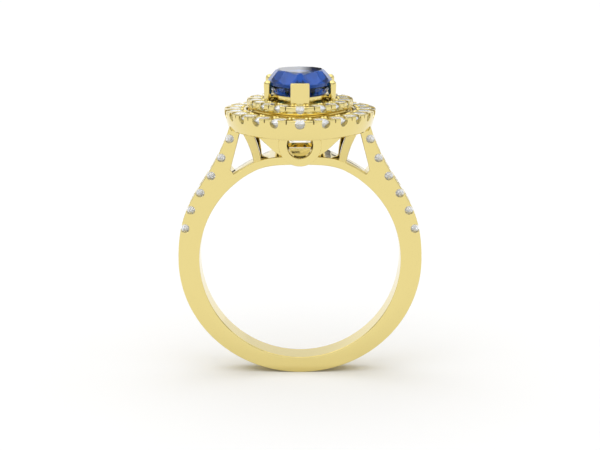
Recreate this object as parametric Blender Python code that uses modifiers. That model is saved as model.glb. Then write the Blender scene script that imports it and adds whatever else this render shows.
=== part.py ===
"""Engagement ring: a pear-cut sapphire in a double diamond halo on a cathedral shank.

The finger hole's centre is the origin. The hole runs along Y, +Z points up to the
sapphire, and the pear's point faces -Y. Every length below is in millimetres and is
turned into metres by mm().
"""

from math import asin, cos, hypot, pi, radians, sin, sqrt

import bmesh
import bpy
from mathutils import Matrix, Vector

# Shank: a flat band that rises into two cathedral shoulders.
FINGER_RADIUS = 8.25
SHANK_WIDTH = 2.5
SHANK_HALF_SPAN = 9.97
SHANK_BOTTOM = 9.54
SHOULDER_TOP_OUTER = (5.66, 11.12)
SHOULDER_TOP_INNER = (4.70, 11.12)
SHOULDER_HANDLES = ((9.98, 5.63), (7.36, 5.74))
SPLIT_ANGLE = 53.0  # where shoulder and bridge part, from +X

# Bridge: a thin saddle across the top of the finger hole, widest under the head.
BRIDGE_THICKNESS = 0.7
BRIDGE_FLARE_START = 3.7
BRIDGE_FLARE_END = 0.9
BRIDGE_FLARE_HALF_WIDTH = 3.2
BRIDGE_HOLE_RADIUS = 1.4

# Collars: open round tubes lying along the finger at the front and back of the bridge.
COLLAR_RADIUS = 1.70
COLLAR_BORE = 1.02
COLLAR_CENTRE_Z = FINGER_RADIUS + COLLAR_RADIUS - 0.02
COLLAR_FACE = 4.05
COLLAR_LENGTH = 2.85
COLLAR_WEB = 0.4
COLLAR_WEB_TOP = 9.35
COLLAR_CUT_Z = 10.55
WING_OUTLINE = ((1.50, 8.96), (2.06, 9.31), (3.06, 10.23), (3.55, 10.67), (1.60, 10.67))
WING_DEPTHS = (2.75, 3.25)

# Sapphire: a semicircle at the back and two longer arcs that meet in the point.
PEAR_RADIUS = 2.5
PEAR_LENGTH = 7.0
PEAR_CENTRE_Y = 1.0
GIRDLE_Z = 14.34
GIRDLE_THICKNESS = 0.24
GIRDLE_SPREAD = 0.12  # how far the girdle reaches past the pear outline, into the prongs
BULGE = (-0.27, 13.62)  # offset from the girdle, and height, where the pavilion turns in
TABLE_Z = 15.5
TABLE_SHARE = 0.70
CULET_Z = 12.45
CULET_Y = 0.35

# Halos: offsets are measured outwards from the sapphire's girdle.
OUTER_ROW = 2.83
OUTER_COUNT = 22
OUTER_STONE = 1.40
OUTER_TOP = 12.28
OUTER_SECTION = ((3.66, 12.28), (3.70, 12.20), (3.68, 11.9), (3.36, 10.78), (3.28, 10.70),
                 (2.05, 10.70), (1.90, 11.2), (1.88, 12.28))
INNER_ROW = 1.12
INNER_COUNT = 16
INNER_STONE = 1.30
INNER_TOP = 13.10
INNER_SECTION = ((1.78, 13.10), (1.84, 13.03), (1.84, 12.70), (1.74, 12.38), (1.50, 12.12),
                 (1.34, 12.06), (0.45, 12.06), (0.36, 12.15), (0.36, 13.10))
OUTER_SCALLOP = (0.39, 0.27)  # radius, and depth of its centre below the top
INNER_SCALLOP = (0.34, 0.20)
SHOULDER_SCALLOP = (0.36, 0.32)
GIRDLE_SINK = 0.24  # girdle below the surface that a small stone is set in

# Gallery cone: a funnel from a round foot on the bridge to the inner halo.
CONE_FOOT_Z = 8.3
CONE_FOOT_RADII = (1.75, 1.41)
CONE_OUTSIDE = ((1.76, 12.03),)  # offsets from the girdle, and heights
CONE_INSIDE = ((1.34, 12.03),)
CONE_CENTRE_Y = 0.9

# Struts from the bridge to the underside of the outer halo.
STRUT_FOOT = (3.42, 1.02)
STRUT_FRONT_TOP = (4.26, -3.0)
STRUT_BACK_TOP = (4.26, 3.8)
STRUT_WIDTH = 0.60
STRUT_WIDENING = 0.20
STRUT_DEPTH = 0.75
STRUT_TOP_Z = 10.95
STRUT_BOW = 0.16

# Centre setting: a seat rail, four round prongs and a flat-faced prong at the point.
RAIL_SECTION = ((-0.12, 13.60), (-0.12, 13.14), (-0.50, 13.14), (-0.50, 13.42), (-0.26, 13.56))
PRONG_RADIUS = 0.33
PRONG_FOOT_RADIUS = 0.26
PRONG_OFFSET = 0.37
PRONG_FOOT_Z = 12.75
PRONGS = ((-0.75, 14.73), (2.40, 14.90))  # place along the finger, and height of the top
POINT_PRONG_WIDTH = 1.5
POINT_PRONG_Y = (-3.90, -3.05)
POINT_PRONG_Z = (13.02, 14.80)

# Shoulder diamonds, set in the outer edge of each shoulder.
SHOULDER_STONE = 1.36
SHOULDER_COUNT = 6
SHOULDER_PITCH = 1.67
SHOULDER_FIRST = 1.03  # from the shoulder's top end, along its outer edge

CLEARANCE = 0.03
HALF_POINTS = 26  # points on half of a halo outline
STONE_SIDES = 8  # a stone and its pocket have their corners at the same angles

COLOURS = {
    "gold": ((0.83, 0.66, 0.30), 1.0, 0.18),
    "sapphire": ((0.02, 0.05, 0.42), 0.0, 0.02),
    "diamond": ((0.92, 0.94, 0.97), 0.0, 0.02),
}


def mm(*values):
    """Millimetres as metres: one value gives a float, three give a Vector."""
    if len(values) == 1:
        return values[0] * 0.001
    return Vector(values) * 0.001


def clear_scene():
    for obj in list(bpy.data.objects):
        bpy.data.objects.remove(obj)


def make_material(name):
    colour, metallic, roughness = COLOURS[name]
    material = bpy.data.materials.new(name)
    material.use_nodes = True
    shader = material.node_tree.nodes["Principled BSDF"]
    shader.inputs["Base Color"].default_value = (*colour, 1.0)
    shader.inputs["Metallic"].default_value = metallic
    shader.inputs["Roughness"].default_value = roughness
    return material


def add_object(name, mesh, collection, material=None):
    obj = bpy.data.objects.new(name, mesh)
    collection.objects.link(obj)
    if material and not mesh.materials:
        mesh.materials.append(material)
    return obj


def mesh_from(bm, name):
    bmesh.ops.recalc_face_normals(bm, faces=bm.faces)
    mesh = bpy.data.meshes.new(name)
    bm.to_mesh(mesh)
    bm.free()
    mesh.shade_smooth()
    mesh.set_sharp_from_angle(angle=radians(35))
    return mesh


def loft(loops, capped):
    """A closed body through rings of points: capped at both ends, or joined end to end."""
    bm = bmesh.new()
    rings = [[bm.verts.new(point) for point in loop] for loop in loops]
    pairs = list(zip(rings, rings[1:]))
    if not capped:
        pairs.append((rings[-1], rings[0]))
    for lower, upper in pairs:
        count = len(lower)
        for i in range(count):
            j = (i + 1) % count
            bm.faces.new((lower[i], lower[j], upper[j], upper[i]))
    if capped:
        bm.faces.new(rings[0][::-1])
        bm.faces.new(rings[-1])
    bmesh.ops.remove_doubles(bm, verts=bm.verts, dist=1e-7)
    bmesh.ops.dissolve_degenerate(bm, edges=bm.edges, dist=1e-7)
    return bm


def turned(profile, steps, name):
    """A solid of revolution about local Z from (radius, height) points, top to bottom."""
    bm = bmesh.new()
    verts = [bm.verts.new(mm(radius, 0, height)) for radius, height in profile]
    for first, second in zip(verts, verts[1:]):
        bm.edges.new((first, second))
    outline = bpy.data.meshes.new(name + "_profile")
    bm.to_mesh(outline)
    bm.free()
    obj = bpy.data.objects.new(name + "_profile", outline)
    bpy.context.scene.collection.objects.link(obj)
    screw = obj.modifiers.new("turn", "SCREW")
    screw.steps = screw.render_steps = steps
    screw.use_merge_vertices = True
    screw.merge_threshold = 1e-6
    graph = bpy.context.evaluated_depsgraph_get()
    solid = bpy.data.meshes.new_from_object(obj.evaluated_get(graph))
    bpy.data.objects.remove(obj)
    bm = bmesh.new()
    bm.from_mesh(solid)
    bmesh.ops.remove_doubles(bm, verts=bm.verts, dist=1e-7)
    return mesh_from(bm, name)


# --- the pear outline --------------------------------------------------------------

PEAR_FRONT = PEAR_LENGTH - PEAR_RADIUS
PEAR_FLANK = (PEAR_RADIUS**2 + PEAR_FRONT**2) / (2 * PEAR_RADIUS)


def pear_arcs(offset):
    """(centre x, centre y, radius, first angle, last angle) of the +X half, tip to back.

    Angles are those of the outward normal, from -Y round to +Y.
    """
    tip_y = PEAR_CENTRE_Y - PEAR_FRONT
    flank = PEAR_FLANK + offset
    tip = asin((PEAR_FLANK - PEAR_RADIUS) / (PEAR_FLANK + min(offset, 0)))
    arcs = []
    if offset > 0:
        arcs.append((0, tip_y, offset, 0, tip))
    arcs.append((PEAR_RADIUS - PEAR_FLANK, PEAR_CENTRE_Y, flank, tip, pi / 2))
    arcs.append((0, PEAR_CENTRE_Y, PEAR_RADIUS + offset, pi / 2, pi))
    return arcs


def pear_at(offset, distance):
    """(x, y, normal angle) at a distance along the +X half of the outline from its tip."""
    arcs = pear_arcs(offset)
    for x, y, radius, first, last in arcs:
        length = radius * (last - first)
        if distance <= length or (x, y, radius, first, last) == arcs[-1]:
            angle = first + distance / radius
            return x + radius * sin(angle), y - radius * cos(angle), angle
        distance -= length
    return None


def pear_half_length(offset):
    return sum(radius * (last - first) for _, _, radius, first, last in pear_arcs(offset))


def pear_loop(offset, z, half=HALF_POINTS):
    """The outline as a ring of points, in the same order and number for every offset."""
    length = pear_half_length(offset)
    right = [pear_at(offset, length * i / half)[:2] for i in range(half + 1)]
    left = [(-x, y) for x, y in right[-2:0:-1]]
    return [mm(x, y, z) for x, y in right + left]


def row_stations(offset, count):
    """(x, y, normal angle) of stones spaced evenly round a halo, the first at the tip."""
    half = pear_half_length(offset)
    stations = []
    for i in range(count):
        distance = 2 * half * i / count
        if distance <= half:
            stations.append(pear_at(offset, distance))
        else:
            x, y, angle = pear_at(offset, 2 * half - distance)
            stations.append((-x, y, -angle))
    return stations


def stone_matrix(x, y, angle, top):
    """Where a halo stone stands: girdle just below the gold's top, a side facing outwards."""
    turn = angle + pi / STONE_SIDES
    return Matrix.Translation(mm(x, y, top - GIRDLE_SINK)) @ Matrix.Rotation(turn, 4, "Z")


# --- stones ------------------------------------------------------------------------


def brilliant(name, diameter, material):
    """A round stone about its girdle, table up."""
    radius = diameter / 2
    profile = [
        (0, 0.17 * diameter),
        (0.29 * diameter, 0.17 * diameter),
        (radius, 0.02 * diameter),
        (radius, -0.02 * diameter),
        (0, -0.43 * diameter),
    ]
    mesh = turned(profile, STONE_SIDES, name)
    mesh.materials.append(material)
    return mesh


def seat_cutter(name, diameter):
    """The pocket that holds such a stone, open at the top."""
    radius = diameter / 2 + CLEARANCE
    profile = [
        (0, 0.6),
        (radius, 0.6),
        (radius, -0.02 * diameter - CLEARANCE),
        (0.12, -0.40 * diameter),
        (0.12, -0.43 * diameter - 0.10),
        (0, -0.43 * diameter - 0.10),
    ]
    return turned(profile, STONE_SIDES, name)


def rod(name, radius, length, steps=10):
    """A round bar along local Z from 0 to its length."""
    return turned([(0, length), (radius, length), (radius, 0), (0, 0)], steps, name)


def standing(point, up, turn=0.0):
    """A matrix that puts local Z along up at a point."""
    rotation = Vector(up).to_track_quat("Z", "Y").to_matrix().to_4x4()
    return Matrix.Translation(point) @ rotation @ Matrix.Rotation(turn, 4, "Z")


def cutter(name, mesh, matrix, cutters):
    obj = add_object(name, mesh, cutters)
    obj.matrix_world = matrix
    obj.hide_render = True
    obj.display_type = "WIRE"
    return obj


def joined(name, parts, cutters):
    """One mesh cutter made from several placed meshes that a Boolean takes together."""
    bm = bmesh.new()
    for mesh, matrix in parts:
        piece = mesh.copy()
        piece.transform(matrix)
        bm.from_mesh(piece)
        bpy.data.meshes.remove(piece)
    mesh = bpy.data.meshes.new(name)
    bm.to_mesh(mesh)
    bm.free()
    return cutter(name, mesh, Matrix(), cutters)


def boolean(obj, other, operation="DIFFERENCE"):
    modifier = obj.modifiers.new(operation.lower(), "BOOLEAN")
    modifier.operation = operation
    modifier.object = other
    modifier.use_self = True


# --- gold --------------------------------------------------------------------------


def arc(centre, radius, first, last, count):
    """Points in the XZ plane round a centre, between two angles from +X in degrees."""
    points = []
    for i in range(count + 1):
        angle = radians(first + (last - first) * i / count)
        points.append((centre[0] + radius * cos(angle), centre[1] + radius * sin(angle)))
    return points


def shoulder_edge(count):
    """The right shoulder's outer edge as a Bezier, from the band's widest place up."""
    start = Vector((SHANK_HALF_SPAN, 0))
    first, second = (Vector(handle) for handle in SHOULDER_HANDLES)
    end = Vector(SHOULDER_TOP_OUTER)
    points = []
    for i in range(count + 1):
        t = i / count
        point = (start * (1 - t) ** 3 + first * 3 * t * (1 - t) ** 2
                 + second * 3 * t * t * (1 - t) + end * t**3)
        points.append((point.x, point.y))
    return points


def shoulder_stations():
    """(x, z, outward normal) of the right shoulder's stones, from the top down."""
    edge = shoulder_edge(200)[::-1]
    stations = []
    target = SHOULDER_FIRST
    travelled = 0.0
    for (x0, z0), (x1, z1) in zip(edge, edge[1:]):
        step = hypot(x1 - x0, z1 - z0)
        while travelled + step >= target and len(stations) < SHOULDER_COUNT:
            share = (target - travelled) / step
            normal = Vector((z0 - z1, x1 - x0)).normalized()
            stations.append((x0 + (x1 - x0) * share, z0 + (z1 - z0) * share, normal))
            target += SHOULDER_PITCH
        travelled += step
    return stations


def plate(name, outline, collection, material):
    """A flat shape in the XZ plane, as thick as the shank is wide, centred on Y = 0."""
    curve = bpy.data.curves.new(name, "CURVE")
    curve.dimensions = "2D"
    curve.fill_mode = "BOTH"
    curve.extrude = mm(SHANK_WIDTH / 2)
    spline = curve.splines.new("POLY")
    spline.points.add(len(outline) - 1)
    for point, (x, z) in zip(spline.points, outline):
        point.co = (mm(x), mm(z), 0, 1)
    spline.use_cyclic_u = True
    obj = bpy.data.objects.new(name + "_outline", curve)
    bpy.context.scene.collection.objects.link(obj)
    obj.rotation_euler = (pi / 2, 0, 0)
    graph = bpy.context.evaluated_depsgraph_get()
    graph.update()
    mesh = bpy.data.meshes.new_from_object(obj.evaluated_get(graph))
    matrix = obj.matrix_world.copy()
    bpy.data.objects.remove(obj)
    bm = bmesh.new()
    bm.from_mesh(mesh)
    bm.transform(matrix)
    bmesh.ops.remove_doubles(bm, verts=bm.verts, dist=1e-7)
    return add_object(name, mesh_from(bm, name), collection, material)


def make_shank(collection, cutters, material):
    """The band and its two shoulders, one C-shaped piece, open at the top."""
    right_shoulder = shoulder_edge(14)[::-1]
    lower = [(SHANK_HALF_SPAN * cos(radians(a)), SHANK_BOTTOM * sin(radians(a)))
             for a in range(-5, -180, -5)]
    left_shoulder = [(-x, z) for x, z in right_shoulder[::-1]]
    split = radians(SPLIT_ANGLE)
    crotch = FINGER_RADIUS + BRIDGE_THICKNESS + 0.43
    left_inner = [(-SHOULDER_TOP_INNER[0], SHOULDER_TOP_INNER[1]),
                  (-crotch * cos(split), crotch * sin(split))]
    hole = arc((0, 0), FINGER_RADIUS, 180 - SPLIT_ANGLE, 360 + SPLIT_ANGLE, 72)
    right_inner = [(-x, z) for x, z in left_inner[::-1]]
    outline = right_shoulder + lower + left_shoulder + left_inner + hole + right_inner
    shank = plate("shank", outline, collection, material)
    outside = [(offset + CLEARANCE, z - CLEARANCE) for offset, z in OUTER_SECTION[4:0:-1]]
    under_halo = mesh_from(loft([pear_loop(offset, z) for offset, z in outside], capped=True), "halo_room")
    boolean(shank, cutter("halo_room", under_halo, Matrix(), cutters))
    pocket = seat_cutter("shoulder_pocket", SHOULDER_STONE)
    bar_radius, bar_depth = SHOULDER_SCALLOP
    bar = rod("shoulder_scallop_bar", bar_radius, SHANK_WIDTH + 1)
    parts = []
    for x, z, normal in shoulder_stations():
        for side in (1, -1):
            up = Vector((side * normal.x, 0, normal.y))
            sunk = mm(side * x, 0, z) - up * mm(GIRDLE_SINK)
            parts.append((pocket, standing(sunk, up)))
            start = mm(side * x, -SHANK_WIDTH / 2 - 0.5, z) - up * mm(bar_depth)
            parts.append((bar, standing(start, (0, 1, 0))))
    boolean(shank, joined("shoulder_seats", parts, cutters))
    return shank


def bridge_half_width(x):
    """Half the saddle's width along the finger, at a place across it."""
    share = (BRIDGE_FLARE_START - abs(x)) / (BRIDGE_FLARE_START - BRIDGE_FLARE_END)
    share = max(0.0, min(1.0, share))
    return SHANK_WIDTH / 2 + share * (BRIDGE_FLARE_HALF_WIDTH - SHANK_WIDTH / 2)


def make_bridge(collection, cutters, material):
    """The saddle, a loft of rectangles along the top of the finger hole."""
    inner, outer = FINGER_RADIUS, FINGER_RADIUS + BRIDGE_THICKNESS
    sweep = 90 - SPLIT_ANGLE - 0.3
    count = 36
    loops = []
    for i in range(count + 1):
        angle = radians(90 - sweep + 2 * sweep * i / count)
        half = bridge_half_width(outer * cos(angle))
        loops.append([mm(radius * cos(angle), y, radius * sin(angle))
                      for radius, y in ((inner, -half), (outer, -half), (outer, half), (inner, half))])
    bridge = add_object("bridge", mesh_from(loft(loops, capped=True), "bridge"), collection, material)
    hole = rod("gallery_hole", BRIDGE_HOLE_RADIUS, 3, 24)
    boolean(bridge, cutter("gallery_hole", hole, Matrix.Translation(mm(0, CONE_CENTRE_Y, 7)), cutters))
    clearance = rod("collar_clearance", COLLAR_RADIUS + CLEARANCE, COLLAR_LENGTH + 1, 32)
    for side in (-1, 1):
        start = mm(0, side * (COLLAR_FACE + 1), COLLAR_CENTRE_Z)
        matrix = standing(start, (0, -side, 0))
        boolean(bridge, cutter(f"collar_clearance_{side}", clearance, matrix, cutters))
    return bridge


def make_collar(name, side, collection, cutters, material):
    """A tube along the finger with a web across its inner end, and a wing on each side."""
    profile = [
        (COLLAR_BORE, 0),
        (COLLAR_RADIUS - 0.06, 0),
        (COLLAR_RADIUS, -0.06),
        (COLLAR_RADIUS, -COLLAR_LENGTH),
        (0, -COLLAR_LENGTH),
        (0, COLLAR_WEB - COLLAR_LENGTH),
        (COLLAR_BORE, COLLAR_WEB - COLLAR_LENGTH),
        (COLLAR_BORE, 0),
    ]
    mesh = turned(profile, 32, name)
    collar = add_object(name, mesh, collection, material)
    collar.matrix_world = standing(mm(0, side * COLLAR_FACE, COLLAR_CENTRE_Z), (0, side, 0))
    above = box_mesh(name + "_above", (-4, -8, COLLAR_CUT_Z), (4, 8, COLLAR_CUT_Z + 4))
    boolean(collar, cutter(name + "_top", above, Matrix(), cutters))
    near = side * (COLLAR_FACE - COLLAR_LENGTH + COLLAR_WEB + 0.01)
    far = side * (COLLAR_FACE - COLLAR_LENGTH - 0.5)
    low, high = min(near, far), max(near, far)
    window = box_mesh(name + "_window", (-1.01, low, COLLAR_WEB_TOP), (1.01, high, COLLAR_CUT_Z + 1))
    boolean(collar, cutter(name + "_window", window, Matrix(), cutters))
    for hand in (-1, 1):
        wing = cutter(f"{name}_wing_{hand}", wing_mesh(name + "_wing", hand, side), Matrix(), cutters)
        boolean(collar, wing, "UNION")
    return collar


def wing_mesh(name, hand, side):
    """The flat plate beside a collar."""
    return mesh_from(loft([[mm(hand * x, side * y, z) for x, z in WING_OUTLINE]
                           for y in WING_DEPTHS], capped=True), name)


def box_mesh(name, low, high):
    bm = bmesh.new()
    bmesh.ops.create_cube(bm, size=1)
    size = [mm(b - a) for a, b in zip(low, high)]
    centre = [mm((a + b) / 2) for a, b in zip(low, high)]
    bmesh.ops.scale(bm, vec=size, verts=bm.verts)
    bmesh.ops.translate(bm, vec=centre, verts=bm.verts)
    return mesh_from(bm, name)


def finger_arch():
    """The bridge's outer curve as a bar, which shapes the feet that stand on it."""
    return rod("finger_arch", FINGER_RADIUS + BRIDGE_THICKNESS + CLEARANCE, 20, 96)


def make_cone(collection, cutters, material):
    """The funnel: round at the foot and pear-shaped at the top, notched round the collars."""
    def round_loop(radius, z):
        points = []
        for i in range(2 * HALF_POINTS):
            share = i if i <= HALF_POINTS else i - 2 * HALF_POINTS
            angle = pi * share / HALF_POINTS
            points.append(mm(radius * sin(angle), CONE_CENTRE_Y - radius * cos(angle), z))
        return points

    outer_foot, inner_foot = (round_loop(radius, CONE_FOOT_Z) for radius in CONE_FOOT_RADII)
    loops = [inner_foot, outer_foot]
    loops += [pear_loop(offset, z) for offset, z in CONE_OUTSIDE + CONE_INSIDE]
    cone = add_object("gallery_cone", mesh_from(loft(loops, capped=False), "gallery_cone"),
                      collection, material)
    boolean(cone, cutter("cone_foot", finger_arch(), standing(mm(0, -10, 0), (0, 1, 0)), cutters))
    round_bar = rod("cone_notch", COLLAR_RADIUS + CLEARANCE, COLLAR_LENGTH + 1.3, 32)
    for side in (-1, 1):
        start = mm(0, side * (COLLAR_FACE + 1), COLLAR_CENTRE_Z)
        notch = cutter(f"cone_notch_{side}", round_bar, standing(start, (0, -side, 0)), cutters)
        above = box_mesh(f"cone_keep_{side}", (-4, -8, COLLAR_CUT_Z + CLEARANCE), (4, 8, 16))
        boolean(notch, cutter(f"cone_keep_{side}", above, Matrix(), cutters))
        boolean(cone, notch)
        near, far = sorted((side * (WING_DEPTHS[0] - CLEARANCE), side * 8))
        room = box_mesh(f"wing_room_{side}", (-5, near, 8), (5, far, WING_OUTLINE[-1][1] + CLEARANCE))
        boolean(cone, cutter(f"wing_room_{side}", room, Matrix(), cutters))
    return cone


def strut_mesh(name, side, top):
    """A slim bar from the bridge to the halo, that curves outwards and widens as it rises."""
    sign_y = -1 if top[1] < 0 else 1
    outer = FINGER_RADIUS + BRIDGE_THICKNESS + CLEARANCE
    foot_z = sqrt(outer**2 - (STRUT_FOOT[0] - STRUT_WIDTH / 2) ** 2)
    foot = Vector((STRUT_FOOT[0], sign_y * STRUT_FOOT[1], foot_z - 0.4))
    head = Vector((top[0], top[1], STRUT_TOP_Z))
    loops = []
    count = 6
    for i in range(count + 1):
        t = i / count
        centre = foot.lerp(head, t)
        centre.x -= STRUT_BOW * 4 * t * (1 - t)
        half_width = (STRUT_WIDTH + STRUT_WIDENING * t) / 2
        loops.append([mm(side * (centre.x + dx * half_width), centre.y + dy * STRUT_DEPTH / 2, centre.z)
                      for dx, dy in ((-1, -1), (1, -1), (1, 1), (-1, 1))])
    return mesh_from(loft(loops, capped=True), name)


def scallops(row, count, top, scallop):
    """Radial bars that open a halo's outer wall beside each stone."""
    radius, depth = scallop
    bar = rod("scallop_bar", radius, 1.6, 11)
    parts = []
    for x, y, angle in row_stations(row, count):
        start = mm(x + 0.2 * sin(angle), y - 0.2 * cos(angle), top - depth)
        parts.append((bar, standing(start, (sin(angle), -cos(angle), 0))))
    return parts


def make_halo(name, section, row, count, top, stone, scallop, collection, cutters, material):
    """A pear-shaped ring with a pocket and a scallop for each of its stones."""
    loops = [pear_loop(offset, z) for offset, z in section]
    halo = add_object(name, mesh_from(loft(loops, capped=False), name), collection, material)
    pocket = seat_cutter(name + "_pocket", stone)
    parts = [(pocket, stone_matrix(x, y, angle, top)) for x, y, angle in row_stations(row, count)]
    parts += scallops(row, count, top, scallop)
    boolean(halo, joined(name + "_seats", parts, cutters))
    return halo


def prong_places():
    """(x, y, top height) of the right-hand round prongs, outside the girdle."""
    steps = 400
    half = pear_half_length(PRONG_OFFSET)
    points = [pear_at(PRONG_OFFSET, half * i / steps)[:2] for i in range(steps + 1)]
    return [(*min(points, key=lambda point: abs(point[1] - y)), top) for y, top in PRONGS]


def prong_mesh(name, top, grow):
    """A tapered post with a domed top; grow widens it, for the notch that it stands in."""
    radius = PRONG_RADIUS + grow
    length = top - PRONG_FOOT_Z + grow
    dome = 4
    profile = [(radius * sin(pi / 2 * i / dome), length - radius + radius * cos(pi / 2 * i / dome))
               for i in range(dome + 1)]
    profile += [(PRONG_FOOT_RADIUS + grow, -grow), (0, -grow)]
    return turned(profile, 12, name)


def make_basket(collection, cutters, material):
    """The seat rail with its four round prongs, one casting."""
    loops = [pear_loop(offset, z) for offset, z in RAIL_SECTION]
    basket = add_object("centre_basket", mesh_from(loft(loops, capped=False), "centre_basket"),
                        collection, material)
    arm = rod("prong_arm", 0.2, 0.75, 8)
    for number, (x, y, top) in enumerate(prong_places()):
        post = prong_mesh("prong_post", top, 0)
        inward = Vector((-x, PEAR_CENTRE_Y - 0.4 - y, 0)).normalized()
        for side in (-1, 1):
            name = f"prong_{number}_{side}"
            matrix = Matrix.Translation(mm(side * x, y, PRONG_FOOT_Z))
            boolean(basket, cutter(name, post, matrix, cutters), "UNION")
            reach = standing(mm(side * x, y, 13.35), (side * inward.x, inward.y, 0))
            boolean(basket, cutter(name + "_arm", arm, reach, cutters), "UNION")
    room = mesh_from(loft(sapphire_loops(1.015), capped=True), "basket_room")
    boolean(basket, cutter("basket_room", room, Matrix(), cutters))
    return basket


def sapphire_loops(grow):
    """Table, girdle top, girdle bottom, pavilion bulge and culet, as rings of points."""
    levels = ((0, TABLE_SHARE, TABLE_Z), (GIRDLE_SPREAD, 1, GIRDLE_Z + GIRDLE_THICKNESS),
              (GIRDLE_SPREAD, 1, GIRDLE_Z),
              (BULGE[0], 1, BULGE[1]), (0, 0.06, CULET_Z))
    rings = []
    for offset, share, z in levels:
        ring = []
        for point in pear_loop(offset, 0, 10):
            ring.append(mm(point.x * 1000 * share * grow,
                           CULET_Y + (point.y * 1000 - CULET_Y) * share * grow,
                           GIRDLE_Z + (z - GIRDLE_Z) * grow))
        rings.append(ring)
    return rings


def make_point_prong(collection, cutters, material):
    """The flat-faced prong that guards the pear's point, hollowed to fit the stone."""
    low = (-POINT_PRONG_WIDTH / 2, POINT_PRONG_Y[0], POINT_PRONG_Z[0])
    high = (POINT_PRONG_WIDTH / 2, POINT_PRONG_Y[1], POINT_PRONG_Z[1])
    prong = add_object("point_prong", box_mesh("point_prong", low, high), collection, material)
    stone = mesh_from(loft(sapphire_loops(1.025), capped=True), "stone_clearance")
    boolean(prong, cutter("stone_clearance", stone, Matrix(), cutters))
    inside = mesh_from(loft([pear_loop(-0.07, z) for z in (12.5, 14.2)], capped=True), "rail_clearance")
    boolean(prong, cutter("rail_clearance", inside, Matrix(), cutters))
    return prong


def make_stones(collection, diamond, sapphire):
    shoulder = brilliant("shoulder_brilliant", SHOULDER_STONE, diamond)
    for number, (x, z, normal) in enumerate(shoulder_stations(), 1):
        for side, word in ((-1, "left"), (1, "right")):
            up = Vector((side * normal.x, 0, normal.y))
            stone = add_object(f"shoulder_diamond_{word}_{number}", shoulder, collection)
            stone.matrix_world = standing(mm(side * x, 0, z) - up * mm(GIRDLE_SINK), up)
    for word, row, count, top, size in (
        ("outer", OUTER_ROW, OUTER_COUNT, OUTER_TOP, OUTER_STONE),
        ("inner", INNER_ROW, INNER_COUNT, INNER_TOP, INNER_STONE),
    ):
        mesh = brilliant(word + "_brilliant", size, diamond)
        for number, (x, y, angle) in enumerate(row_stations(row, count), 1):
            stone = add_object(f"{word}_halo_diamond_{number:02d}", mesh, collection)
            stone.matrix_world = stone_matrix(x, y, angle, top)
    mesh = mesh_from(loft(sapphire_loops(1.0), capped=True), "sapphire")
    add_object("sapphire", mesh, collection, sapphire)


def main():
    clear_scene()
    collection = bpy.data.collections.new("engagement_ring")
    cutters = bpy.data.collections.new("cutters")
    bpy.context.scene.collection.children.link(collection)
    bpy.context.scene.collection.children.link(cutters)
    gold, sapphire, diamond = (make_material(name) for name in ("gold", "sapphire", "diamond"))

    make_shank(collection, cutters, gold)
    make_bridge(collection, cutters, gold)
    make_collar("collar_front", -1, collection, cutters, gold)
    make_collar("collar_back", 1, collection, cutters, gold)
    make_cone(collection, cutters, gold)

    outer = make_halo("outer_halo", OUTER_SECTION, OUTER_ROW, OUTER_COUNT, OUTER_TOP,
                      OUTER_STONE, OUTER_SCALLOP, collection, cutters, gold)
    arch = cutter("strut_feet", finger_arch(), standing(mm(0, -10, 0), (0, 1, 0)), cutters)
    for side in (-1, 1):
        for word, top in (("front", STRUT_FRONT_TOP), ("back", STRUT_BACK_TOP)):
            name = f"strut_{word}_{side}"
            strut = cutter(name, strut_mesh(name, side, top), Matrix(), cutters)
            boolean(strut, arch)
            boolean(outer, strut, "UNION")

    inner = make_halo("inner_halo", INNER_SECTION, INNER_ROW, INNER_COUNT, INNER_TOP,
                      INNER_STONE, INNER_SCALLOP, collection, cutters, gold)
    for number, (x, y, top) in enumerate(prong_places()):
        notch = prong_mesh("prong_notch", top, CLEARANCE)
        for side in (-1, 1):
            matrix = Matrix.Translation(mm(side * x, y, PRONG_FOOT_Z))
            boolean(inner, cutter(f"prong_notch_{number}_{side}", notch, matrix, cutters))
    half = POINT_PRONG_WIDTH / 2 + CLEARANCE
    low = (-half, POINT_PRONG_Y[0] - CLEARANCE, POINT_PRONG_Z[0] - CLEARANCE)
    high = (half, POINT_PRONG_Y[1] + 1, POINT_PRONG_Z[1])
    boolean(inner, cutter("point_notch", box_mesh("point_notch", low, high), Matrix(), cutters))

    make_basket(collection, cutters, gold)
    make_point_prong(collection, cutters, gold)
    make_stones(collection, diamond, sapphire)


main()
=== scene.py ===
"""Looks of the engagement ring: polished yellow gold, a pear-cut sapphire and round brilliants.
"""

from math import asin, atan2, cos, hypot, pi, radians, sin, sqrt

import bmesh
import bpy
from mathutils import Matrix, Vector


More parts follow.
